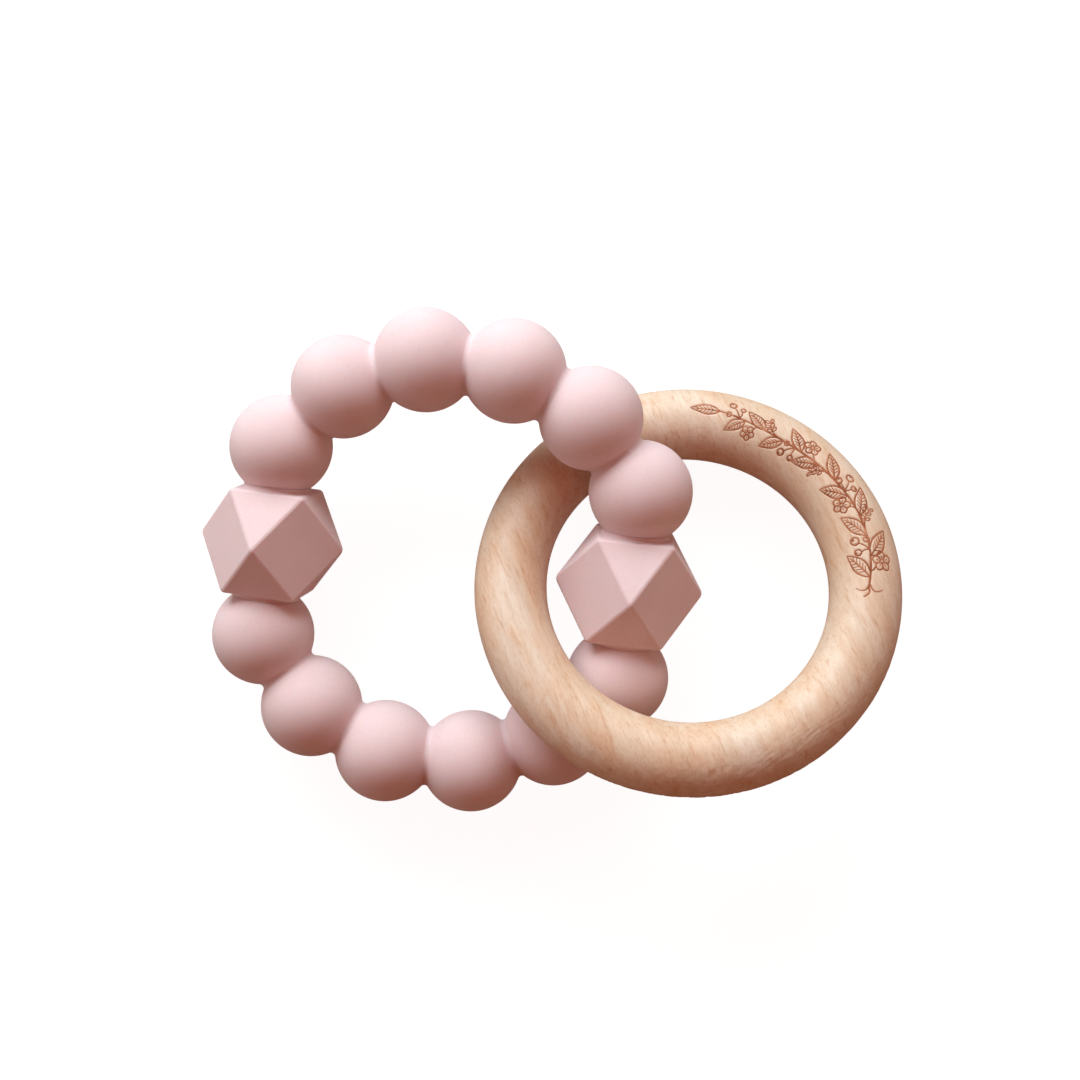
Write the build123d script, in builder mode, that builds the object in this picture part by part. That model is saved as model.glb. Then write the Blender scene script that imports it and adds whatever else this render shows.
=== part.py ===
"""Teething ring: a loop of silicone beads on a cord, linked with a turned wooden ring.

The object lies on a table at z = 0, with the wooden ring on the +X side. The soft bead loop
leans on the wooden ring, which passes under it at the back and over it at the front.
Every length is in millimetres and every angle in degrees.
"""

import os
from itertools import product
from math import cos, pi, radians, sin, sqrt

from build123d import *

# Round silicone beads
bead_radius = 7.6
neck_fillet = 0.7  # radius of the hollow between two round beads
seat_fillet = 0.45  # radius of the hollow where a round bead meets a faceted one
bore_radius = 1.25
bore_overrun = 0.5  # the bore's cutter runs this far past each mouth

# Faceted silicone beads: eight triangles and six squares, with the cord through two squares
facet_edge = 11.05
facet_corner_radius = 10.85  # how far the rounded corners are from the middle
facet_corner_angle = 45  # from a side of the bead's box to the corner halfway round
collar_root = 1.0  # the collar on a square face is rooted this deep and this far in
seat_gap = 0.05  # a faceted bead turns on the cord with this much room at each end
right_bead_turn = 0.0  # turn about the cord, from a corner pointing straight up
left_bead_turn = 7.0

# The closed loop that the beads make
loop_radius = 30.35
loop_center = (-14.66, 0.08, 12.63)
loop_tilt = 11.5
loop_rise_heading = 67.9  # compass direction, from +X towards +Y, in which the loop climbs
right_bead_angle = -74.8  # place of the right faceted bead round the loop
round_beads_per_side = 6
bead_step = 24.78  # angle round the loop from one round bead to the next
drape_lift = 1.09  # the soft loop bends: two opposite sides ride up and two hang down
drape_angle = -5.4  # where round the loop it rides up most

# Cord through the beads, tied in a knot inside one of them
cord_radius = 0.75
cord_bend = 8.0
cord_bend_at_seat = 6.0  # tighter, in the round beads that sit beside a faceted one
knot_bead = 8  # index of the round bead that hides the knot
knot_inset = 0.7  # distance from the mouth of the knot's pocket to the knot
knot_turns = 3
knot_turn_pitch = 1.3
knot_core_radius = 1.25
pocket_radius = 2.4
pocket_depth = 4.9

# Wooden ring, turned from one piece with a round section
ring_radius = 26.05
ring_tube_radius = 5.33
ring_center = (20.51, -3.27, 14.45)
ring_tilt = 20.4
ring_rise_heading = -87.0


def leaning_plane(origin, tilt, heading):
    """A plane whose x axis points straight up its slope."""
    lean, turn = radians(tilt), radians(heading)
    uphill = (cos(turn) * cos(lean), sin(turn) * cos(lean), sin(lean))
    normal = (-cos(turn) * sin(lean), -sin(turn) * sin(lean), cos(lean))
    return Plane(origin=origin, x_dir=uphill, z_dir=normal)


def direction(start, end):
    return (end - start).normalized()


def finish(part, name):
    part.label = name
    export_step(part, f"parts/{name}.step")
    sizes = part.bounding_box()
    print(f"{name}: volume {part.volume:.1f}, z from {sizes.min.Z:.2f} to {sizes.max.Z:.2f}")


os.makedirs("parts", exist_ok=True)

# ---- Places round the loop ----

loop_plane = leaning_plane(loop_center, loop_tilt, loop_rise_heading)
end_step = (180 - bead_step * (round_beads_per_side - 1)) / 2


def round_bead_center(side, place):
    angle = right_bead_angle + 180 * side + end_step + bead_step * place
    lift = drape_lift * cos(radians(2 * (angle - drape_angle)))
    flat = (loop_radius * cos(radians(angle)), loop_radius * sin(radians(angle)))
    return loop_plane.from_local_coords(Vector(*flat, lift))


round_centers = [
    round_bead_center(side, place)
    for side in range(2)
    for place in range(round_beads_per_side)
]
round_count = len(round_centers)


def faceted_seat(index, towards):
    """True where the neighbour of a round bead, one step on or back, is a faceted bead."""
    place = index % round_beads_per_side
    return place == (round_beads_per_side - 1 if towards > 0 else 0)


# ---- Round beads ----

facet_half_height = facet_edge / sqrt(2)


def seat_distance(index, towards):
    """From a round bead's middle to the flat where it meets its neighbour."""
    center = round_centers[index]
    half_gap = (round_centers[(index + towards) % round_count] - center).length / 2
    if not faceted_seat(index, towards):
        return half_gap
    square_face = half_gap - facet_half_height
    return bead_radius / (bead_radius + seat_fillet) * (square_face - seat_fillet)


def bead_half(index, towards):
    """The half of a round bead that faces one neighbour, cut on the mitre through its middle."""
    center = round_centers[index]
    along = direction(center, round_centers[(index + towards) % round_count])
    other = direction(center, round_centers[(index - towards) % round_count])
    seat = seat_distance(index, towards)
    if faceted_seat(index, towards):
        touch = (seat, sqrt(bead_radius**2 - seat**2))
    else:
        reach = bead_radius + neck_fillet
        hollow_center = sqrt(reach**2 - seat**2)
        touch = (seat * bead_radius / reach, hollow_center * bead_radius / reach)
    with BuildPart() as half:
        side_on = Plane(origin=center, x_dir=along, z_dir=along.cross(loop_plane.z_dir))
        with BuildSketch(side_on):
            with BuildLine():
                ThreePointArc((-bead_radius, 0), (0, bead_radius), touch)
                if faceted_seat(index, towards):
                    Line(touch, (seat, 0))
                else:
                    waist = (seat, hollow_center - neck_fillet)
                    TangentArc(touch, waist, tangent=(touch[1], -touch[0]))
                    Line(waist, (seat, 0))
                Line((seat, 0), (-bead_radius, 0))
            make_face()
        revolve(axis=Axis(center, along))
        split(bisect_by=Plane(origin=center, z_dir=along - other), keep=Keep.TOP)
    return half.part


def cord_bend_at(index):
    """The cord turns more sharply where its neighbour is a faceted bead."""
    beside_faceted = faceted_seat(index, 1) or faceted_seat(index, -1)
    return cord_bend_at_seat if beside_faceted else cord_bend


for index, center in enumerate(round_centers):
    onward = direction(center, round_centers[(index + 1) % round_count])
    backward = direction(center, round_centers[index - 1])
    mouth = center + onward * seat_distance(index, 1)
    bore_ends = [
        mouth + onward * bore_overrun,
        center + backward * (seat_distance(index, -1) + bore_overrun),
    ]
    halves = [bead_half(index, towards) for towards in (1, -1)]
    with BuildPart() as round_bead:
        add(halves)
        with BuildLine():
            FilletPolyline(bore_ends[0], center, bore_ends[1], radius=cord_bend_at(index))
        with BuildSketch(Plane(origin=bore_ends[0], z_dir=-onward)):
            Circle(bore_radius)
        sweep(mode=Mode.SUBTRACT)
        if index == knot_bead:
            with BuildSketch(Plane(origin=mouth, z_dir=onward)):
                Circle(pocket_radius)
            extrude(amount=-pocket_depth, mode=Mode.SUBTRACT)
    finish(round_bead.part, f"round_bead_{index + 1:02d}")

# ---- Faceted beads ----

last_right = round_beads_per_side - 1
neighbour_distance = (round_centers[0] - round_centers[-1]).length / 2
collar_height = neighbour_distance - seat_distance(0, -1) - seat_gap
collar_radius = sqrt(bead_radius**2 - seat_distance(0, -1) ** 2)
hollow_radius = sqrt(
    (bead_radius + seat_fillet) ** 2 - (neighbour_distance - facet_half_height - seat_fillet) ** 2
)

with BuildPart() as faceted_blank:
    Box(2 * facet_half_height, 2 * facet_half_height, 2 * facet_half_height)
    for corner in product((-1, 1), repeat=3):
        third = Vector(*corner) * (2 * facet_half_height / 3)
        split(bisect_by=Plane(origin=third, z_dir=corner), keep=Keep.BOTTOM)
    Sphere(facet_corner_radius, mode=Mode.INTERSECT)
    with BuildSketch(Plane.XZ):
        with BuildLine():
            collar_foot = (hollow_radius, facet_half_height)
            collar_top = (collar_radius, collar_height)
            TangentArc(collar_foot, collar_top, tangent=(-1, 0))
            collar_heel = (hollow_radius - collar_root, facet_half_height - collar_root)
            axis_root = (0, collar_heel[1])
            Polyline(collar_top, (0, collar_height), axis_root, collar_heel, collar_foot)
        make_face()
        mirror(about=Plane.XZ)
    revolve(axis=Axis.Z)
    Cylinder(bore_radius, 2 * collar_height, mode=Mode.SUBTRACT)


def faceted_bead_plane(before, after, turn):
    """Halfway between two round beads, with z along the cord and a corner of the bead upwards."""
    along = direction(before, after)
    upright = (Vector(0, 0, 1) - along * along.Z).normalized()
    sideways = along.cross(upright)
    to_corner = radians(turn + facet_corner_angle)
    x_dir = upright * cos(to_corner) + sideways * sin(to_corner)
    return Plane(origin=(before + after) / 2, x_dir=x_dir, z_dir=along)


with BuildPart() as faceted_bead_right:
    bead_plane = faceted_bead_plane(round_centers[-1], round_centers[0], right_bead_turn)
    with Locations(bead_plane.location):
        add(faceted_blank.part)
finish(faceted_bead_right.part, "faceted_bead_right")

with BuildPart() as faceted_bead_left:
    bead_plane = faceted_bead_plane(
        round_centers[last_right], round_centers[last_right + 1], left_bead_turn
    )
    with Locations(bead_plane.location):
        add(faceted_blank.part)
finish(faceted_bead_left.part, "faceted_bead_left")

# ---- Cord and its knot ----

knot_length = knot_turns * knot_turn_pitch
knot_axis = direction(round_centers[knot_bead], round_centers[knot_bead + 1])
knot_end = round_centers[knot_bead] + knot_axis * (seat_distance(knot_bead, 1) - knot_inset)
knot_start = knot_end - knot_axis * knot_length

cord_corners = [(knot_bead + 1 + step) % round_count for step in range(round_count)]
cord_points = [knot_end, *(round_centers[corner] for corner in cord_corners), knot_start]
cord_bends = [cord_bend_at(corner) for corner in cord_corners]

with BuildPart() as threading_cord:
    with BuildLine() as cord_path:
        FilletPolyline(*cord_points, radius=cord_bends)
    with BuildSketch(Plane(origin=cord_path.line @ 0, z_dir=cord_path.line % 0)):
        Circle(cord_radius)
    sweep()
cord_length = sum(edge.length for edge in cord_path.edges())
expected_volume = cord_length * pi * cord_radius**2
print(f"cord length {cord_length:.1f}, swept {threading_cord.part.volume:.1f} of {expected_volume:.1f}")
finish(threading_cord.part, "threading_cord")

with BuildPart() as cord_knot:
    with BuildSketch(Plane(origin=knot_start, x_dir=knot_axis, z_dir=knot_axis.cross(loop_plane.z_dir))):
        with Locations((knot_length / 2, knot_core_radius / 2)):
            Rectangle(knot_length, knot_core_radius)
        for turn in range(knot_turns):
            with Locations(((turn + 0.5) * knot_turn_pitch, knot_core_radius)):
                Circle(knot_turn_pitch / 2)
    revolve(axis=Axis(knot_start, knot_axis))
finish(cord_knot.part, "cord_knot")

# ---- Wooden ring ----

ring_plane = leaning_plane(ring_center, ring_tilt, ring_rise_heading)

with BuildPart() as wooden_ring:
    with BuildSketch(Plane(origin=ring_center, x_dir=ring_plane.x_dir, z_dir=ring_plane.y_dir)):
        with Locations((ring_radius, 0)):
            Circle(ring_tube_radius)
    revolve(axis=Axis(ring_center, ring_plane.z_dir))
finish(wooden_ring.part, "wooden_ring")
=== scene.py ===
from math import acos, asin, atan2, ceil, cos, hypot, pi, radians, sin, sqrt

import bmesh
import bpy
import numpy as np
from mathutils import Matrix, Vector, kdtree, noise


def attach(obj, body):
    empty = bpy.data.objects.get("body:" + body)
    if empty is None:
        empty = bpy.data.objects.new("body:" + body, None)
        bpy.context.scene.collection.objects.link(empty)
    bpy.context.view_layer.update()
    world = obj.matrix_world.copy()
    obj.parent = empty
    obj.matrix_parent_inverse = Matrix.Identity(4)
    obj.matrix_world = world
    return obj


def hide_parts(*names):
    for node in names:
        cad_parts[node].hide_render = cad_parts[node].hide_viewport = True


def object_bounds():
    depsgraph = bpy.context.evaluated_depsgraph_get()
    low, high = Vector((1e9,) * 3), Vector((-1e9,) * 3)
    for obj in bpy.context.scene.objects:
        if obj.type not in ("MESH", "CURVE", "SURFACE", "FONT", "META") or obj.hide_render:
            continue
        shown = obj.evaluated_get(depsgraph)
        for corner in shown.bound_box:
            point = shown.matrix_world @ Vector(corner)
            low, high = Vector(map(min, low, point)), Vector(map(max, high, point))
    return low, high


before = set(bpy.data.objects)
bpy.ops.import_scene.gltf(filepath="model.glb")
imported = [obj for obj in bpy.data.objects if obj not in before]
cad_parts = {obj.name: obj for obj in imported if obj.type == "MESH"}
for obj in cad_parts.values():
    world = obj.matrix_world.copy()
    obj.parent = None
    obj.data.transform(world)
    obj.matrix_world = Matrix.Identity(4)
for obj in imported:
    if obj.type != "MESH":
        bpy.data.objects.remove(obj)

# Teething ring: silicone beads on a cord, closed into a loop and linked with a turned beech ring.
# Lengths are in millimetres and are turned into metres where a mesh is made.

MM = 0.001
cad_low, cad_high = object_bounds()

# Round silicone beads
BEAD_RADIUS = 7.6
NECK_FILLET = 0.7
SEAT_FILLET = 0.45
BORE_RADIUS = 1.25
BORE_BEND = 1.6  # how far each side of a bead's middle its bore starts to bend
BEAD_SEGMENTS = 128
BALL_RINGS = 56
NECK_RINGS = 10
BORE_RINGS = 8
BALL_FIT_SLACKS = (0.5, 0.2, 0.05, 0.02, 0.02)  # how far off the ball a vertex may be, in each round
POCKET_BEAD = "round_bead_09"
POCKET_RADIUS = 2.4
POCKET_DEPTH = 4.9

# Faceted silicone beads
FACET_EDGE = 11.05
FACET_CORNER_RADIUS = 10.85
FACET_BEVEL = 0.38
BEVEL_SEGMENTS = 5
FACET_CORNER_TURN = 45  # from a side of the bead's box to the corner halfway round
SEAT_GAP = 0.05
FACETED_TURNS = {"faceted_bead_left": 7.0, "faceted_bead_right": 0.0}

# Unevenness of the moulded and turned surfaces
MOULD_WAVE = 0.035
MOULD_WAVE_LENGTH = 6.0
TURNING_WAVE = 0.05
TURNING_WAVE_LENGTH = 14.0

# The board that the wooden ring was cut from
FIBRE = (0.36, -0.93)  # direction of its fibres, to the ring's east and north
HEART_SIDES = (-0.008, 0.045)  # across the fibres, where it is warmest and palest, in metres

# Tool marks where the wooden ring was sanded across the grain, on its near outer side
MARK_DEPTH = 0.08
MARK_LENGTH = 1.8
MARK_WIDTH = 0.6
MARK_SLANT = radians(50)  # direction of the marks across the ring, from its east
MARK_HEADING = radians(-75)  # where round the ring they are deepest
MARK_TOP = -0.2  # how far round the tube from its top they begin, in radians

# Sprig burnt into the wooden ring, between two compass directions of the ring
SPRIG_START = radians(-6)
SPRIG_END = radians(88)
SPRIG_JOINTS = 11
SPRIG_HALF_WIDTH = 4.7
SPRIG_MARGIN = radians(5)
SPRIG_FOOT = 0.6  # distance along to the foot of the main stem
TIP_LEAF = 4.4
GROOVE_DEPTH = 0.11
GROOVE_FULL_WIDTH = 0.3  # a narrower line is shallower too
GROOVE_SHOULDER = 0.10  # how far past the line's edge the groove begins
GROOVE_WALL = 0.16
CHAR_DEPTH = 0.075
CHAR_THICKNESS = 0.045
CHAR_SIDES = 6
SCORCH = 0.5
SCORCH_REACH = 0.07
LINE_WEIGHT = 0.88  # thins or thickens every line of the drawing
STROKE_STEP = 0.1
STROKE_LEAST_STEPS = 12
FINE_STEP = 0.14  # between the points of the wood's surface under the sprig
COARSE_STEP = 0.33

# Cord of three twisted strands, and its knot
CORD_RADIUS = 0.75
CORD_TWIST = 4.5
CORD_STEP = 0.35
STRANDS = 3
STRAND_SIDES = 8
KNOT_INSET = 0.7
KNOT_LENGTH = 3.9
KNOT_WRAP_RADIUS = 0.62
KNOT_COIL_RADIUS = 1.25
KNOT_COIL_TURNS = 2
KNOT_COIL_STEPS = 160

# Floor, light and camera
FLOOR_HALF = 3000.0  # half the length of a side
GLOW_FOCUS = 3.0  # a higher power narrows each of the room's glows
CAMERA_ASIDE = (-1.2, 3.59)  # from above the object's middle
CAMERA_HEIGHT = 279.43
FOCAL_LENGTH = 60
SENSOR_WIDTH = 36

ROUND_BEADS = [f"round_bead_{number:02d}" for number in range(1, 13)]
BEADS = ROUND_BEADS[:6] + ["faceted_bead_left"] + ROUND_BEADS[6:] + ["faceted_bead_right"]


# ---- Helpers ----

def unit(vector):
    return vector / np.linalg.norm(vector)


def neighbours(bead):
    """The beads before and after a bead in the loop."""
    order = BEADS.index(bead)
    return BEADS[order - 1], BEADS[(order + 1) % len(BEADS)]


def cad_points(node):
    """The CAD node's vertices in millimetres."""
    return np.array([vertex.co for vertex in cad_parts[node].data.vertices]) / MM


def add_piece(name, mesh, body, material, node=None):
    """A shown piece of the object that rides on a body and stands for a CAD node, if it has one."""
    mesh.materials.append(material)
    piece = bpy.data.objects.new(name, mesh)
    bpy.context.scene.collection.objects.link(piece)
    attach(piece, body)
    if node:
        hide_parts(node)
    return piece


def smooth_mesh(name, points, faces, sharp_angle=35):
    """A closed mesh in metres with outward faces, smooth except at sharp edges."""
    mesh = bpy.data.meshes.new(name)
    mesh.from_pydata((np.asarray(points) * MM).tolist(), [], faces)
    bm = bmesh.new()
    bm.from_mesh(mesh)
    bmesh.ops.recalc_face_normals(bm, faces=bm.faces)
    bm.to_mesh(mesh)
    bm.free()
    mesh.shade_smooth()
    mesh.set_sharp_from_angle(angle=radians(sharp_angle))
    return mesh


def grid_faces(rows, columns):
    """Quads between successive rows, with the last row and column joined to the first."""
    faces = []
    for row in range(rows):
        below = (row + 1) % rows
        for column in range(columns):
            right = (column + 1) % columns
            corners = (row, column), (row, right), (below, right), (below, column)
            faces.append([r * columns + c for r, c in corners])
    return faces


def tube_faces(start, rows, sides):
    """The faces of a closed tube whose rings of points begin at a place in a list."""
    faces = [[start + j for j in range(sides)], [start + rows * sides - 1 - j for j in range(sides)]]
    for row in range(rows - 1):
        low, high = start + row * sides, start + (row + 1) * sides
        for j in range(sides):
            k = (j + 1) % sides
            faces.append([low + j, low + k, high + k, high + j])
    return faces


def tube_mesh(name, points, faces):
    """A closed mesh that is smooth all over, but for the flat ends of its tubes."""
    return smooth_mesh(name, points, faces, sharp_angle=60)


def waves(points, normals, height, length):
    """The points moved along their normals by soft noise, which depends only on where they are."""
    lifts = [noise.noise(Vector(point / length)) for point in points]
    return points + height * np.array(lifts)[:, None] * normals


# ---- Materials ----

def new_material(name):
    material = bpy.data.materials.new(name)
    material.use_nodes = True
    nodes = material.node_tree.nodes
    shader = nodes["Principled BSDF"]
    return material, nodes, material.node_tree.links, shader


def noise_node(nodes, links, vector, scale, detail=3.0, roughness=0.5):
    texture = nodes.new("ShaderNodeTexNoise")
    texture.inputs["Scale"].default_value = scale
    texture.inputs["Detail"].default_value = detail
    texture.inputs["Roughness"].default_value = roughness
    links.new(vector, texture.inputs["Vector"])
    return texture.outputs["Fac"]


def ramp_node(nodes, links, factor, stops):
    ramp = nodes.new("ShaderNodeValToRGB")
    elements = ramp.color_ramp.elements
    while len(elements) < len(stops):
        elements.new(1.0)
    for element, (position, colour) in zip(elements, stops):
        element.position = position
        element.color = (*colour, 1.0)
    links.new(factor, ramp.inputs["Fac"])
    return ramp.outputs["Color"]


def range_node(nodes, links, value, low, high, new_low, new_high):
    mapped = nodes.new("ShaderNodeMapRange")
    limits = {"From Min": low, "From Max": high, "To Min": new_low, "To Max": new_high}
    for name, number in limits.items():
        mapped.inputs[name].default_value = number
    links.new(value, mapped.inputs["Value"])
    return mapped.outputs["Result"]


def mix_node(nodes, links, factor, first, second, blend="MIX"):
    """Mixes two colours, each a socket or a tuple, by a socket or a number."""
    mix = nodes.new("ShaderNodeMix")
    mix.data_type = "RGBA"
    mix.blend_type = blend
    sockets = mix.inputs["Factor"], mix.inputs[6], mix.inputs[7]
    for socket, value in zip(sockets, (factor, first, second)):
        if isinstance(value, bpy.types.NodeSocket):
            links.new(value, socket)
        elif isinstance(value, tuple):
            socket.default_value = (*value, 1.0)
        else:
            socket.default_value = value
    return mix.outputs[2]


def bump_node(nodes, links, shader, height, distance, strength=1.0, before=None):
    bump = nodes.new("ShaderNodeBump")
    bump.inputs["Distance"].default_value = distance * MM
    bump.inputs["Strength"].default_value = strength
    links.new(height, bump.inputs["Height"])
    if before:
        links.new(before, bump.inputs["Normal"])
    links.new(bump.outputs["Normal"], shader.inputs["Normal"])
    return bump.outputs["Normal"]


def silicone_material():
    """Dusty pink silicone: matt, faintly see-through at the surface, with a powdery bloom."""
    material, nodes, links, shader = new_material("silicone")
    place = nodes.new("ShaderNodeTexCoord").outputs["Object"]
    cloud = noise_node(nodes, links, place, 140.0)
    speck = noise_node(nodes, links, place, 2600.0, detail=2.0)
    clouded = ramp_node(nodes, links, cloud, [
        (0.35, (0.815, 0.635, 0.650)), (0.65, (0.840, 0.665, 0.682))])
    specked = ramp_node(nodes, links, speck, [(0.30, (0.97, 0.96, 0.96)), (0.55, (1.0, 1.0, 1.0))])
    links.new(mix_node(nodes, links, 1.0, clouded, specked, "MULTIPLY"), shader.inputs["Base Color"])
    links.new(range_node(nodes, links, speck, 0.3, 0.7, 0.66, 0.78), shader.inputs["Roughness"])
    peel = noise_node(nodes, links, place, 900.0, detail=4.0, roughness=0.6)
    bump_node(nodes, links, shader, peel, 0.02, 0.5)
    shader.inputs["Subsurface Weight"].default_value = 0.2
    shader.inputs["Subsurface Radius"].default_value = (1.0, 0.35, 0.25)
    shader.inputs["Subsurface Scale"].default_value = 1.2 * MM
    shader.inputs["Sheen Weight"].default_value = 0.05
    shader.inputs["Sheen Roughness"].default_value = 0.5
    shader.inputs["Specular IOR Level"].default_value = 0.16
    return material


def fibre_place(nodes, links, fibre, board):
    """Coordinates whose x axis runs along the wood's fibres and whose z axis leaves the board's face."""
    place = nodes.new("ShaderNodeTexCoord").outputs["Object"]
    across = unit(np.cross(board, fibre))
    parts = nodes.new("ShaderNodeCombineXYZ")
    for axis, name in ((fibre, "X"), (across, "Y"), (board, "Z")):
        dot = nodes.new("ShaderNodeVectorMath")
        dot.operation = "DOT_PRODUCT"
        dot.inputs[1].default_value = tuple(axis)
        links.new(place, dot.inputs[0])
        links.new(dot.outputs["Value"], parts.inputs[name])
    return parts.outputs["Vector"]


def stretched(nodes, links, vector, scales):
    mapping = nodes.new("ShaderNodeMapping")
    mapping.inputs["Scale"].default_value = scales
    links.new(vector, mapping.inputs["Vector"])
    return mapping.outputs["Vector"]


def beech_material(fibre, board):
    """Pale oiled beech: growth bands, warm patches, streaks, ray flecks and fine pores."""
    material, nodes, links, shader = new_material("beech")
    place = fibre_place(nodes, links, fibre, board)
    band = noise_node(nodes, links, stretched(nodes, links, place, (12.0, 150.0, 90.0)), 1.0, 4.0)
    patch = noise_node(nodes, links, stretched(nodes, links, place, (90.0, 240.0, 200.0)), 1.0, 3.0, 0.6)
    streak = noise_node(nodes, links, stretched(nodes, links, place, (70.0, 900.0, 900.0)), 1.0, 4.0, 0.6)
    fleck = noise_node(nodes, links, stretched(nodes, links, place, (200.0, 1500.0, 900.0)), 1.0, 2.0)
    pore = noise_node(nodes, links, stretched(nodes, links, place, (900.0, 5200.0, 5200.0)), 1.0, 2.0)
    wood = ramp_node(nodes, links, band, [
        (0.30, (0.725, 0.550, 0.405)),
        (0.50, (0.790, 0.636, 0.503)),
        (0.70, (0.820, 0.682, 0.560))])
    warm = ramp_node(nodes, links, patch, [(0.40, (1.0, 1.0, 1.0)), (0.66, (0.965, 0.825, 0.715))])
    sides = nodes.new("ShaderNodeSeparateXYZ")
    links.new(place, sides.inputs["Vector"])
    heart = range_node(nodes, links, sides.outputs["Y"], *HEART_SIDES, 1.0, 0.6)
    wood = mix_node(nodes, links, heart, wood, warm, "MULTIPLY")
    streaked = ramp_node(nodes, links, streak, [(0.30, (0.87, 0.79, 0.72)), (0.60, (1.0, 1.0, 1.0))])
    wood = mix_node(nodes, links, 0.7, wood, streaked, "MULTIPLY")
    flecks = ramp_node(nodes, links, fleck, [(0.30, (0.86, 0.70, 0.58)), (0.42, (1.0, 1.0, 1.0))])
    wood = mix_node(nodes, links, 0.7, wood, flecks, "MULTIPLY")
    pores = ramp_node(nodes, links, pore, [(0.30, (0.88, 0.80, 0.73)), (0.48, (1.0, 1.0, 1.0))])
    wood = mix_node(nodes, links, 0.9, wood, pores, "MULTIPLY")
    scorch = nodes.new("ShaderNodeAttribute")
    scorch.attribute_name = "scorch"
    wood = mix_node(nodes, links, scorch.outputs["Fac"], wood, (0.46, 0.185, 0.090))
    links.new(wood, shader.inputs["Base Color"])
    links.new(range_node(nodes, links, streak, 0.3, 0.7, 0.56, 0.44), shader.inputs["Roughness"])
    first = bump_node(nodes, links, shader, streak, 0.03, 0.5)
    bump_node(nodes, links, shader, pore, 0.02, 0.4, before=first)
    shader.inputs["Specular IOR Level"].default_value = 0.5
    return material


def burnt_material():
    """Burnt wood: uneven brown, darker where the tool rested."""
    material, nodes, links, shader = new_material("burnt_line")
    place = nodes.new("ShaderNodeTexCoord").outputs["Object"]
    char = noise_node(nodes, links, place, 700.0, detail=4.0)
    colour = ramp_node(nodes, links, char, [
        (0.30, (0.250, 0.072, 0.032)),
        (0.55, (0.400, 0.140, 0.066)),
        (0.75, (0.540, 0.240, 0.130))])
    links.new(colour, shader.inputs["Base Color"])
    links.new(range_node(nodes, links, char, 0.3, 0.7, 0.9, 0.7), shader.inputs["Roughness"])
    bump_node(nodes, links, shader, char, 0.04, 0.8)
    shader.inputs["Specular IOR Level"].default_value = 0.2
    return material


def cord_material():
    """Off-white twisted polyester cord, with painted shade darkening the hollows between its fibres."""
    material, nodes, links, shader = new_material("cord")
    place = nodes.new("ShaderNodeTexCoord").outputs["Object"]
    fibres = nodes.new("ShaderNodeTexVoronoi")
    fibres.inputs["Scale"].default_value = 2400.0
    links.new(place, fibres.inputs["Vector"])
    hollow = fibres.outputs["Distance"]
    # Painted shade: the colour darkens from each fibre's middle into the hollows between the fibres.
    colour = ramp_node(nodes, links, hollow, [(0.1, (0.78, 0.72, 0.68)), (0.7, (0.46, 0.40, 0.37))])
    links.new(colour, shader.inputs["Base Color"])
    links.new(range_node(nodes, links, hollow, 0.0, 1.0, 0.7, 0.9), shader.inputs["Roughness"])
    bump_node(nodes, links, shader, hollow, 0.1, 0.8)
    return material


silicone = silicone_material()
cord = cord_material()
burnt = burnt_material()


# ---- Places of the beads ----

def ball_center(node):
    """The middle of a round bead's ball, fitted to the CAD vertices that lie on the ball."""
    points = cad_points(node)
    center = (points.min(axis=0) + points.max(axis=0)) / 2
    for slack in BALL_FIT_SLACKS:
        distances = np.linalg.norm(points - center, axis=1)
        ball = points[abs(distances - BEAD_RADIUS) < slack]
        system = np.c_[2 * ball, np.ones(len(ball))]
        center = np.linalg.lstsq(system, (ball**2).sum(axis=1), rcond=None)[0][:3]
    return center


centers = {node: ball_center(node) for node in ROUND_BEADS}
for bead in FACETED_TURNS:
    before, after = neighbours(bead)
    centers[bead] = (centers[before] + centers[after]) / 2

FACET_HALF = FACET_EDGE / sqrt(2)


def seat_distance(bead, neighbour):
    """From a round bead's middle to the flat where it meets its neighbour."""
    gap = np.linalg.norm(centers[neighbour] - centers[bead])
    if neighbour in ROUND_BEADS:
        return gap / 2
    square_face = gap - FACET_HALF
    return BEAD_RADIUS / (BEAD_RADIUS + SEAT_FILLET) * (square_face - SEAT_FILLET)


# ---- Round beads ----

def neck_profile(bead, neighbour):
    """(distance along, radius) from the flat at a neighbour back to where the ball begins."""
    seat = seat_distance(bead, neighbour)
    if neighbour not in ROUND_BEADS:
        return [(seat, sqrt(BEAD_RADIUS**2 - seat**2))]
    reach = BEAD_RADIUS + NECK_FILLET
    hollow = sqrt(reach**2 - seat**2)
    end = asin(seat / reach)
    angles = [end * step / NECK_RINGS for step in range(NECK_RINGS + 1)]
    return [(seat - NECK_FILLET * sin(a), hollow - NECK_FILLET * cos(a)) for a in angles]


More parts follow.
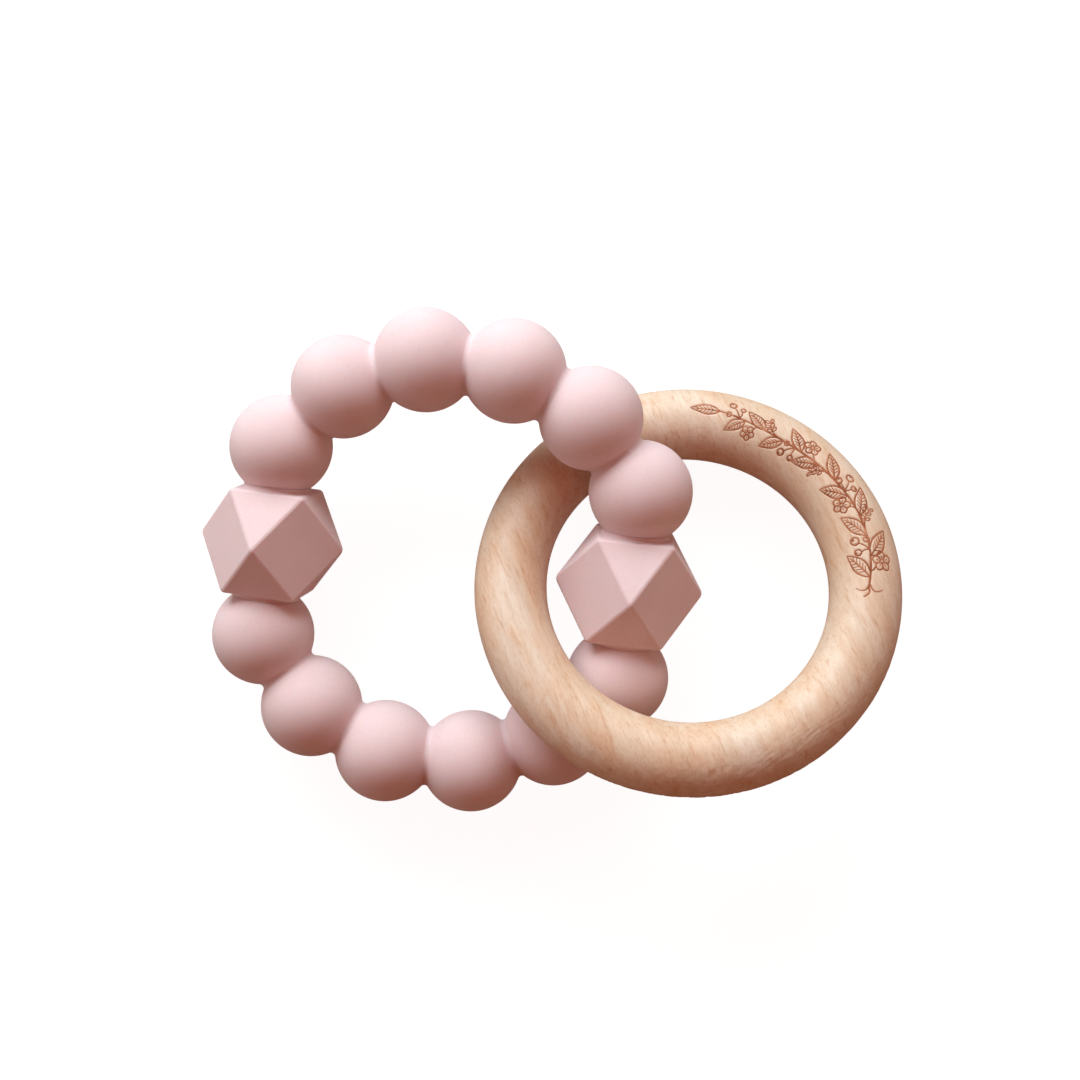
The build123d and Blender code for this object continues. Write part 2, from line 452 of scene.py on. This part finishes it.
def bead_rings(bead, before, after):
    """Rings as (middle, direction, radius): over the outside, then back through the bore.

    Also how many of them are outside, and the direction that every ring starts in.
    """
    onward = unit(centers[after] - centers[bead])
    backward = unit(centers[before] - centers[bead])
    front, back = neck_profile(bead, after), neck_profile(bead, before)
    rings = [(onward * along, onward, radius) for along, radius in front]
    start, stop = acos(front[-1][0] / BEAD_RADIUS), pi - acos(back[-1][0] / BEAD_RADIUS)
    for step in range(1, BALL_RINGS):
        share = step / BALL_RINGS
        polar = start + (stop - start) * share
        axis = unit(onward * (1 - share) - backward * share)
        rings.append((axis * BEAD_RADIUS * cos(polar), axis, BEAD_RADIUS * sin(polar)))
    rings += [(backward * along, -backward, radius) for along, radius in reversed(back)]
    outside = len(rings)
    rings.append((backward * back[0][0], -backward, BORE_RADIUS))
    pocket = bead == POCKET_BEAD
    bend = front[0][0] - POCKET_DEPTH if pocket else BORE_BEND
    for step in range(BORE_RINGS + 1):
        share = step / BORE_RINGS
        middle = bend * (onward * share**2 + backward * (1 - share) ** 2)
        rings.append((middle, unit(onward * share - backward * (1 - share)), BORE_RADIUS))
    if pocket:
        rings.append((onward * bend, onward, POCKET_RADIUS))
    rings.append((onward * front[0][0], onward, POCKET_RADIUS if pocket else BORE_RADIUS))
    return rings, outside, unit(np.cross(onward, backward))


def build_round_bead(bead):
    """A ball with a neck or a seat at each end, and a bore that bends with the loop."""
    rings, outside, sideways = bead_rings(bead, *neighbours(bead))
    turns = np.linspace(0, 2 * pi, BEAD_SEGMENTS, endpoint=False)
    points, normals = [], []
    for middle, axis, radius in rings:
        spokes = np.cos(turns)[:, None] * sideways + np.sin(turns)[:, None] * np.cross(axis, sideways)
        points.append(middle + radius * spokes)
        normals.append(spokes)
    points, normals = np.concatenate(points) + centers[bead], np.concatenate(normals)
    skin = outside * BEAD_SEGMENTS
    points[:skin] = waves(points[:skin], normals[:skin], MOULD_WAVE, MOULD_WAVE_LENGTH)
    mesh = smooth_mesh(f"{bead}_skin", points, grid_faces(len(rings), BEAD_SEGMENTS))
    add_piece(f"{bead}_skin", mesh, "bead_loop", silicone, bead)


for bead in ROUND_BEADS:
    build_round_bead(bead)


# ---- Faceted beads ----

def collar_profile(bead, neighbour):
    """(height, radius) from the foot of the little collar on a square face up to its top."""
    gap = np.linalg.norm(centers[neighbour] - centers[bead])
    seat = seat_distance(neighbour, bead)
    top = gap - seat - SEAT_GAP
    top_radius = sqrt(BEAD_RADIUS**2 - seat**2)
    foot_radius = sqrt((BEAD_RADIUS + SEAT_FILLET) ** 2 - (gap - FACET_HALF - SEAT_FILLET) ** 2)
    rise, run = top - FACET_HALF, foot_radius - top_radius
    radius = (rise**2 + run**2) / (2 * rise)
    end = 2 * atan2(rise, run)
    angles = [end * step / NECK_RINGS for step in range(NECK_RINGS + 1)]
    return [(FACET_HALF + radius * (1 - cos(a)), foot_radius - radius * sin(a)) for a in angles]


def add_ring(bm, height, radius):
    turns = np.linspace(0, 2 * pi, BEAD_SEGMENTS, endpoint=False)
    return [bm.verts.new((radius * cos(turn), radius * sin(turn), height)) for turn in turns]


def join_rings(bm, first, second):
    for j, vertex in enumerate(first):
        k = (j + 1) % len(first)
        bm.faces.new((vertex, first[k], second[k], second[j]))


def faceted_shape(bead, neighbour):
    """Eight triangles and six squares with softened edges, a collar at each end and the bore."""
    bm = bmesh.new()
    for first in (-FACET_HALF, FACET_HALF):
        for second in (-FACET_HALF, FACET_HALF):
            bm.verts.new((first, second, 0))
            bm.verts.new((first, 0, second))
            bm.verts.new((0, first, second))
    bmesh.ops.convex_hull(bm, input=bm.verts)
    bmesh.ops.dissolve_limit(bm, angle_limit=radians(2), verts=bm.verts, edges=bm.edges)
    bmesh.ops.bevel(
        bm, geom=bm.edges[:], offset=FACET_BEVEL, segments=BEVEL_SEGMENTS, profile=0.5, affect="EDGES")
    for vertex in bm.verts:
        vertex.co *= min(1.0, FACET_CORNER_RADIUS / vertex.co.length)
    profile = collar_profile(bead, neighbour)
    inner = []
    for side in (1, -1):
        square = max(bm.faces, key=lambda face: side * face.calc_center_median().z)
        rim = square.edges[:]
        bmesh.ops.delete(bm, geom=[square], context="FACES_ONLY")
        rings = [add_ring(bm, side * height, radius) for height, radius in profile]
        rings.append(add_ring(bm, side * profile[-1][0], BORE_RADIUS))
        for first, second in zip(rings, rings[1:]):
            join_rings(bm, first, second)
        foot = rings[0]
        foot_edges = [bm.edges.get((foot[j], foot[j - 1])) for j in range(len(foot))]
        bmesh.ops.triangle_fill(bm, use_beauty=True, edges=rim + foot_edges)
        inner.append(rings[-1])
    join_rings(bm, *inner)
    bmesh.ops.recalc_face_normals(bm, faces=bm.faces)
    return bm


def build_faceted_bead(bead):
    """A faceted bead between its neighbours, turned about the cord as it lies."""
    before, after = neighbours(bead)
    along = unit(centers[after] - centers[before])
    upright = unit(np.array((0, 0, 1)) - along * along[2])
    sideways = np.cross(along, upright)
    to_corner = radians(FACETED_TURNS[bead] + FACET_CORNER_TURN)
    across = upright * cos(to_corner) + sideways * sin(to_corner)
    axes = np.array((across, np.cross(along, across), along))
    bm = faceted_shape(bead, after)
    for vertex in bm.verts:
        vertex.co = Vector((np.array(vertex.co) @ axes + centers[bead]) * MM)
    mesh = bpy.data.meshes.new(f"{bead}_skin")
    bm.to_mesh(mesh)
    bm.free()
    mesh.shade_smooth()
    mesh.set_sharp_from_angle(angle=radians(50))
    piece = add_piece(f"{bead}_skin", mesh, bead, silicone, bead)
    flats = piece.modifiers.new("flats", "WEIGHTED_NORMAL")
    flats.keep_sharp = True


for bead in FACETED_TURNS:
    build_faceted_bead(bead)


# ---- Wooden ring: its middle, axis and radii, from the CAD node ----

wood_points = cad_points("wooden_ring")
ring_center = (wood_points.min(axis=0) + wood_points.max(axis=0)) / 2
spread = wood_points - ring_center
ring_normal = np.linalg.svd(spread, full_matrices=False)[2][2]
ring_normal = ring_normal * np.sign(ring_normal[2])
heights = spread @ ring_normal
tube_radius = abs(heights).max()
flat_spread = spread - heights[:, None] * ring_normal
ring_radius = np.linalg.norm(flat_spread, axis=1).max() - tube_radius
ring_east = unit(np.array((1, 0, 0)) - ring_normal * ring_normal[0])
ring_north = np.cross(ring_normal, ring_east)


def on_ring(heading, across, lift=0.0):
    """The point at a compass heading and a distance outwards from the top of the tube."""
    heading, across = np.asarray(heading), np.asarray(across)
    roll = across / tube_radius
    outward = np.cos(heading)[..., None] * ring_east + np.sin(heading)[..., None] * ring_north
    normal = np.sin(roll)[..., None] * outward + np.cos(roll)[..., None] * ring_normal
    reach = tube_radius + np.asarray(lift)[..., None]
    return ring_center + ring_radius * outward + reach * normal


# ---- Sprig: strokes drawn on the ring as (distance along, distance across, width) ----

SPRIG_LENGTH = (SPRIG_END - SPRIG_START) * ring_radius
strokes = []


def stroke(points, widths):
    """A smooth pen stroke through a few points, whose width runs through the given widths."""
    points = np.array(points, float)
    spans = len(points) - 1
    travel = sum(hypot(*step) for step in np.diff(points, axis=0))
    samples = max(STROKE_LEAST_STEPS, int(ceil(travel / STROKE_STEP)))
    padded = np.vstack([2 * points[0] - points[1], points, 2 * points[-1] - points[-2]])
    line = []
    for position in np.linspace(0, spans, samples + 1):
        span = min(int(position), spans - 1)
        t = position - span
        p0, p1, p2, p3 = padded[span:span + 4]
        place = 0.5 * (2 * p1 + (p2 - p0) * t + (2 * p0 - 5 * p1 + 4 * p2 - p3) * t**2
                       + (3 * p1 - p0 - 3 * p2 + p3) * t**3)
        width = np.interp(position / spans, np.linspace(0, 1, len(widths)), widths)
        line.append((*place, width * LINE_WEIGHT))
    strokes.append(np.array(line))


def turned(root, heading, along, across):
    """A point given along and across a heading from a root."""
    return (root[0] + along * cos(heading) - across * sin(heading),
            root[1] + along * sin(heading) + across * cos(heading))


def leaf(root, heading, length, width, bow):
    """A pointed leaf: two edges, a midrib and side veins."""
    tip = turned(root, heading, length, bow)
    for side in (1, -1):
        edge = [turned(root, heading, length * share, bow * share + side * width * bulge)
                for share, bulge in ((0.20, 0.36), (0.48, 0.5), (0.80, 0.26))]
        stroke([root, *edge, tip], (0.18, 0.34, 0.28, 0.16))
        for share in (0.22, 0.34, 0.46, 0.58, 0.70):
            inner = turned(root, heading, length * share, bow * share * 0.9)
            reach = side * width * 0.36 * sin(pi * (share + 0.1))
            outer = turned(root, heading, length * (share + 0.13), bow * share + reach)
            stroke([inner, outer], (0.17, 0.10))
    middle = turned(root, heading, length * 0.5, bow * 0.42)
    stroke([root, middle, turned(root, heading, length * 0.88, bow * 0.88)], (0.30, 0.22, 0.12))


def ring_stroke(center, size, widths):
    stroke([turned(center, 2 * pi * step / 8, size, 0) for step in range(9)], widths)


def berries(root, heading, size):
    """Three berries on short stalks that fan out from one place, each with a crown."""
    for spread_angle, stalk, share in ((-0.75, 1.3, 0.8), (0.1, 1.9, 1.0), (0.85, 1.2, 0.7)):
        way = heading + spread_angle
        radius = size * share
        stroke([root, turned(root, way, stalk * 0.5, 0.12), turned(root, way, stalk, 0)], (0.26, 0.18))
        center = turned(root, way, stalk + radius, 0)
        ring_stroke(center, radius, (0.22, 0.32, 0.24))
        for crown in (-0.5, 0.0, 0.5):
            stroke([turned(center, way + crown, radius * 0.4, 0),
                    turned(center, way + crown * 0.6, radius * 0.9, 0)], (0.18, 0.12))


def blossom(root, heading, stalk, size):
    """A five-petalled flower on a stalk, with a ring of stamens."""
    center = turned(root, heading, stalk + size, 0)
    stroke([root, turned(root, heading, stalk * 0.5, 0.15), turned(root, heading, stalk, 0)], (0.28, 0.2))
    for petal in range(5):
        way = heading + 2 * pi * petal / 5 + 0.3
        shape = ((-0.55, 0.28), (-0.50, 0.78), (0.0, 1.0), (0.50, 0.78), (0.55, 0.28))
        stroke([turned(center, way + angle, size * reach, 0) for angle, reach in shape],
               (0.16, 0.28, 0.24, 0.28, 0.16))
        stroke([turned(center, way, size * 0.36, 0), turned(center, way, size * 0.62, 0)], (0.18, 0.10))
    ring_stroke(center, size * 0.2, (0.26, 0.26))


def twig(root, heading, length, bow):
    """A thin twig with small buds in pairs."""
    shares = (0, 0.35, 0.7, 1)
    stroke([turned(root, heading, length * share, bow * sin(pi * share)) for share in shares],
           (0.26, 0.20, 0.12))
    for share in (0.35, 0.6, 0.85):
        base = turned(root, heading, length * share, bow * sin(pi * share))
        for side in (1, -1):
            way = heading + side * 0.8
            bud = [turned(base, way, along, across) for along, across in
                   ((0.1, 0), (0.5, 0.22), (0.95, 0), (0.5, -0.22), (0.1, 0))]
            stroke(bud, (0.14, 0.24, 0.14))


def stem_across(along):
    """How far the main stem wanders from the middle of the tube."""
    return -0.35 + 0.75 * sin(along / SPRIG_LENGTH * 2.2 * pi) + 0.8 * along / SPRIG_LENGTH


def draw_sprig():
    """A stem with leaves on each side in turn, and a flower, berries or a twig opposite each leaf."""
    tip = SPRIG_LENGTH - TIP_LEAF
    stroke([(along, stem_across(along)) for along in np.linspace(SPRIG_FOOT, tip, 14)],
           (0.34, 0.48, 0.42, 0.36, 0.24))
    for joint in range(SPRIG_JOINTS):
        along = 2.2 + joint * (tip - 3.0) / SPRIG_JOINTS
        side = 1 if joint % 2 else -1
        size = 1 - 0.28 * joint / SPRIG_JOINTS
        lean = side * (0.74 + 0.08 * sin(1.9 * joint))
        leaf((along, stem_across(along)), lean, 4.9 * size, 2.1 * size, -0.4 * side)
        opposite = (along + 1.0, stem_across(along + 1.0))
        if joint % 3 == 0:
            blossom(opposite, -lean * 1.25, 0.9, 1.45 * size)
        elif joint % 3 == 1:
            berries(opposite, -lean * 1.15, 0.62 * size)
        else:
            twig(opposite, -lean, 3.6 * size, 0.5 * side)
    leaf((tip, stem_across(tip)), -0.04, TIP_LEAF, 1.5, 0.3)
    foot = (SPRIG_FOOT, stem_across(SPRIG_FOOT))
    stroke([foot, (-0.2, -0.2), (-0.9, -0.9)], (0.34, 0.30, 0.20))
    base = (2 * SPRIG_FOOT, stem_across(2 * SPRIG_FOOT))
    for side in (1, -1):
        root = [turned(base, 1.9 * side, 0.9 * angle, 0.8 * side * sin(1.3 * angle))
                for angle in (0.8, 1.6, 2.3)]
        stroke([base, *root], (0.24, 0.18, 0.10))


draw_sprig()


def uneven_steps(low, high, turn):
    """Places round a circle of a given length: close together from low to high, wider elsewhere."""
    fine = np.arange(low, high, FINE_STEP)
    rest = turn - (fine[-1] - fine[0])
    coarse = np.linspace(fine[-1], fine[-1] + rest, ceil(rest / COARSE_STEP) + 1)[1:-1]
    return np.concatenate([fine, coarse])


def sprig_cuts(headings, across):
    """How deep each place on the ring is cut by the strokes, and how much it is scorched."""
    tree = kdtree.KDTree(sum(len(line) for line in strokes))
    widths = []
    for line in strokes:
        for along, aside, width in line:
            tree.insert(Vector((along, aside, 0)), len(widths))
            widths.append(width)
    tree.balance()
    depth, scorch = np.zeros(len(headings)), np.zeros(len(headings))
    near = (abs(across) < SPRIG_HALF_WIDTH) & (headings < SPRIG_END + SPRIG_MARGIN)
    for index in np.flatnonzero(near):
        along = (headings[index] - SPRIG_START) * ring_radius
        _, nearest, distance = tree.find(Vector((along, across[index], 0)))
        half = widths[nearest] / 2
        slope = min(1.0, max(0.0, (half + GROOVE_SHOULDER - distance) / GROOVE_WALL))
        full = GROOVE_DEPTH * min(1.0, widths[nearest] / GROOVE_FULL_WIDTH)
        depth[index] = full * slope * slope * (3 - 2 * slope)
        scorch[index] = SCORCH * np.exp(-max(0.0, distance - half) / SCORCH_REACH)
    return depth, scorch


def tool_marks(points, headings, rolls):
    """How deep each place is cut by the short sanding marks on the near outer side of the ring."""
    along = np.cos(MARK_SLANT) * ring_east + np.sin(MARK_SLANT) * ring_north
    aside = np.cross(ring_normal, along)
    places = zip(points @ along / MARK_LENGTH, points @ aside / MARK_WIDTH)
    ridges = np.array([abs(noise.noise(Vector((x, y, 0)))) for x, y in places])
    around = np.clip(np.cos(headings - MARK_HEADING), 0, 1) ** 2
    outside = np.clip(np.sin(rolls - MARK_TOP), 0, 1)
    return MARK_DEPTH * 2 * ridges * around * outside


def build_wood():
    """The wooden ring's surface, with the sprig and the sanding marks cut into it."""
    length, girth = 2 * pi * ring_radius, 2 * pi * tube_radius
    first, last = SPRIG_START - SPRIG_MARGIN, SPRIG_END + SPRIG_MARGIN
    headings = uneven_steps(first * ring_radius, last * ring_radius, length) / ring_radius
    across = uneven_steps(-SPRIG_HALF_WIDTH, SPRIG_HALF_WIDTH, girth)
    grids = np.meshgrid(headings, across, indexing="ij")
    heading_grid, across_grid = [grid.ravel() for grid in grids]
    depth, scorch = sprig_cuts(heading_grid, across_grid)
    smooth = on_ring(heading_grid, across_grid)
    normals = (smooth - on_ring(heading_grid, across_grid, -tube_radius)) / tube_radius
    depth += tool_marks(smooth, heading_grid, across_grid / tube_radius)
    points = waves(smooth, normals, TURNING_WAVE, TURNING_WAVE_LENGTH) - depth[:, None] * normals
    mesh = tube_mesh("wooden_ring_grain", points, grid_faces(len(headings), len(across)))
    attribute = mesh.attributes.new("scorch", "FLOAT", "POINT")
    attribute.data.foreach_set("value", scorch)
    fibre = unit(FIBRE[0] * ring_east + FIBRE[1] * ring_north)
    material = beech_material(fibre, ring_normal)
    add_piece("wooden_ring_grain", mesh, "wooden_ring", material, "wooden_ring")


build_wood()


def build_burnt_lines():
    """Each stroke as a thin closed bead of char that lies in its groove."""
    corners = [2 * pi * step / CHAR_SIDES for step in range(CHAR_SIDES)]
    points, faces = [], []
    for line in strokes:
        ways = np.gradient(line[:, :2], axis=0)
        ways /= np.linalg.norm(ways, axis=1)[:, None] + 1e-9
        start = len(points)
        for (along, across, width), way in zip(line, ways):
            sunk = CHAR_DEPTH * min(1.0, width / GROOVE_FULL_WIDTH) ** 2
            for corner in corners:
                offset, lift = width / 2 * cos(corner), CHAR_THICKNESS * sin(corner) - sunk
                heading = SPRIG_START + (along - way[1] * offset) / ring_radius
                points.append(on_ring(heading, across + way[0] * offset, lift))
        faces += tube_faces(start, len(line), len(corners))
    mesh = tube_mesh("burnt_sprig", points, faces)
    add_piece("burnt_sprig", mesh, "wooden_ring", burnt)


build_burnt_lines()


# ---- Cord: three twisted strands through the beads, and the knot that closes it ----

def even_path(points, step):
    """The points of a line at even distances."""
    points = np.array(points)
    travel = np.concatenate([[0], np.cumsum(np.linalg.norm(np.diff(points, axis=0), axis=1))])
    places = np.linspace(0, travel[-1], int(travel[-1] / step) + 1)
    return np.stack([np.interp(places, travel, points[:, axis]) for axis in range(3)], axis=1)


def rope(path, radius, step):
    """Points and faces of closed strands that are twisted about a path."""
    strand_radius = radius / (1 + 1 / sin(pi / STRANDS))
    coil = radius - strand_radius
    ways = np.gradient(path, axis=0)
    ways /= np.linalg.norm(ways, axis=1)[:, None]
    side = unit(np.cross(ways[0], (0.3, 0.2, 1.0)))
    sides = []
    for way in ways:
        side = unit(side - way * (side @ way))
        sides.append(side)
    sides = np.array(sides)
    uprights = np.cross(ways, sides)
    points, faces = [], []
    for strand in range(STRANDS):
        start = len(points)
        for place, (middle, side, upright) in enumerate(zip(path, sides, uprights)):
            turn = 2 * pi * (place * step / (CORD_TWIST * radius / CORD_RADIUS) + strand / STRANDS)
            center = middle + coil * (cos(turn) * side + sin(turn) * upright)
            for corner in np.linspace(0, 2 * pi, STRAND_SIDES, endpoint=False):
                points.append(center + strand_radius * (cos(corner) * side + sin(corner) * upright))
        faces += tube_faces(start, len(path), STRAND_SIDES)
    return points, faces


def bend_points(bead):
    """The cord's way round the bend in the middle of a round bead."""
    backward, onward = [unit(centers[neighbour] - centers[bead]) for neighbour in neighbours(bead)]
    shares = [step / BORE_RINGS for step in range(BORE_RINGS + 1)]
    bends = [onward * share**2 + backward * (1 - share) ** 2 for share in shares]
    return [centers[bead] + BORE_BEND * bend for bend in bends]


def build_cord():
    """The cord once round the loop, and the knot in which its two ends meet."""
    first = BEADS.index(POCKET_BEAD)
    following = neighbours(POCKET_BEAD)[1]
    axis = unit(centers[following] - centers[POCKET_BEAD])
    knot_end = centers[POCKET_BEAD] + axis * (seat_distance(POCKET_BEAD, following) - KNOT_INSET)
    knot_start = knot_end - axis * KNOT_LENGTH
    way = [knot_end]
    for step in range(1, len(BEADS) + 1):
        bead = BEADS[(first + step) % len(BEADS)]
        way += bend_points(bead) if bead in ROUND_BEADS else []
    points, faces = rope(even_path([*way[:-1], knot_start], CORD_STEP), CORD_RADIUS, CORD_STEP)
    mesh = tube_mesh("threading_cord_strands", points, faces)
    add_piece("threading_cord_strands", mesh, "bead_loop", cord, "threading_cord")

    side = unit(np.cross(axis, (0, 0, 1)))
    upright = np.cross(axis, side)
    coil = []
    for share in np.linspace(0, 1, KNOT_COIL_STEPS):
        turn = 2 * pi * KNOT_COIL_TURNS * share
        travel = KNOT_WRAP_RADIUS + (KNOT_LENGTH - 2 * KNOT_WRAP_RADIUS) * share
        spoke = cos(turn) * side + sin(turn) * upright
        coil.append(knot_start + axis * travel + KNOT_COIL_RADIUS * spoke)
    core = even_path([knot_start, knot_end], CORD_STEP)
    core_points, core_faces = rope(core, KNOT_WRAP_RADIUS, CORD_STEP)
    coil_points, coil_faces = rope(even_path(coil, CORD_STEP), KNOT_WRAP_RADIUS, CORD_STEP)
    faces = core_faces + [[corner + len(core_points) for corner in face] for face in coil_faces]
    mesh = tube_mesh("cord_knot_wraps", core_points + coil_points, faces)
    add_piece("cord_knot_wraps", mesh, "bead_loop", cord, "cord_knot")


build_cord()


# ---- Floor, light and camera ----

def add_floor():
    """A pale, softly glowing floor that sends no light back to the object."""
    half = FLOOR_HALF * MM
    mesh = bpy.data.meshes.new("floor")
    corners = [(-half, -half, 0), (half, -half, 0), (half, half, 0), (-half, half, 0)]
    mesh.from_pydata(corners, [], [(0, 1, 2, 3)])
    material, nodes, links, shader = new_material("floor")
    shader.inputs["Base Color"].default_value = (0.22, 0.22, 0.22, 1)
    shader.inputs["Roughness"].default_value = 0.9
    shader.inputs["Specular IOR Level"].default_value = 0.0
    shader.inputs["Emission Color"].default_value = (1, 1, 1, 1)
    shader.inputs["Emission Strength"].default_value = 0.93
    mesh.materials.append(material)
    floor = bpy.data.objects.new("floor", mesh)
    floor.visible_diffuse = False
    floor.visible_glossy = False
    floor.visible_shadow = False
    bpy.context.scene.collection.objects.link(floor)


def add_window(heading, elevation, distance, width, height, power):
    """A wide soft light that faces the object from a compass heading and an elevation, in metres."""
    light = bpy.data.lights.new("window", "AREA")
    light.shape = "RECTANGLE"
    light.size, light.size_y, light.energy = width, height, power
    light.color = (0.86, 0.98, 1.0)
    window = bpy.data.objects.new("window", light)
    turn, rise = radians(heading), radians(elevation)
    way = Vector((cos(turn) * cos(rise), sin(turn) * cos(rise), sin(rise)))
    window.location = (cad_low + cad_high) / 2 + way * distance
    window.rotation_euler = way.to_track_quat("Z", "Y").to_euler()
    bpy.context.scene.collection.objects.link(window)


def add_world():
    """A soft room with one wide glow from each side: pale from the left and behind, else warm."""
    glows = (
        ((1, 0, 0), (0.60, 0.43, 0.34)),
        ((-1, 0, 0), (0.76, 0.69, 0.63)),
        ((0, 1, 0), (0.40, 0.36, 0.37)),
        ((0, -1, 0), (0.22, 0.07, 0.02)),
        ((0, 0, 1), (0.44, 0.08, 0.03)),
        ((0, 0, -1), (0.22, 0.02, 0.01)),
    )
    world = bpy.data.worlds.new("studio")
    bpy.context.scene.world = world
    world.use_nodes = True
    nodes, links = world.node_tree.nodes, world.node_tree.links
    place = nodes.new("ShaderNodeTexCoord").outputs["Generated"]
    room = (0.0, 0.0, 0.0)
    for way, colour in glows:
        facing = nodes.new("ShaderNodeVectorMath")
        facing.operation = "DOT_PRODUCT"
        facing.inputs[1].default_value = way
        links.new(place, facing.inputs[0])
        front = range_node(nodes, links, facing.outputs["Value"], 0.0, 1.0, 0.0, 1.0)
        glow = nodes.new("ShaderNodeMath")
        glow.operation = "POWER"
        glow.inputs[1].default_value = GLOW_FOCUS
        links.new(front, glow.inputs[0])
        glowing = mix_node(nodes, links, glow.outputs[0], (0.0, 0.0, 0.0), colour)
        room = mix_node(nodes, links, 1.0, room, glowing, "ADD")
    lighting = nodes["Background"]
    links.new(room, lighting.inputs["Color"])
    backdrop = nodes.new("ShaderNodeBackground")
    backdrop.inputs["Color"].default_value = (0.97, 0.965, 0.96, 1)
    chosen = nodes.new("ShaderNodeMixShader")
    links.new(nodes.new("ShaderNodeLightPath").outputs["Is Camera Ray"], chosen.inputs[0])
    links.new(lighting.outputs[0], chosen.inputs[1])
    links.new(backdrop.outputs[0], chosen.inputs[2])
    links.new(chosen.outputs[0], nodes["World Output"].inputs["Surface"])


def add_camera():
    """A camera that looks straight down from a little to one side of the object's middle."""
    lens = bpy.data.cameras.new("camera")
    lens.lens, lens.sensor_width = FOCAL_LENGTH, SENSOR_WIDTH
    lens.clip_start = 0.01
    camera = bpy.data.objects.new("camera", lens)
    middle = (cad_low + cad_high) / 2
    aside = Vector((*CAMERA_ASIDE, 0)) * MM
    camera.location = (middle.x + aside.x, middle.y + aside.y, CAMERA_HEIGHT * MM)
    bpy.context.scene.collection.objects.link(camera)
    bpy.context.scene.camera = camera


add_floor()
add_window(heading=104, elevation=28, distance=0.7, width=0.8, height=0.46, power=7.3)
add_world()
add_camera()
bpy.context.scene.view_settings.view_transform = "Standard"
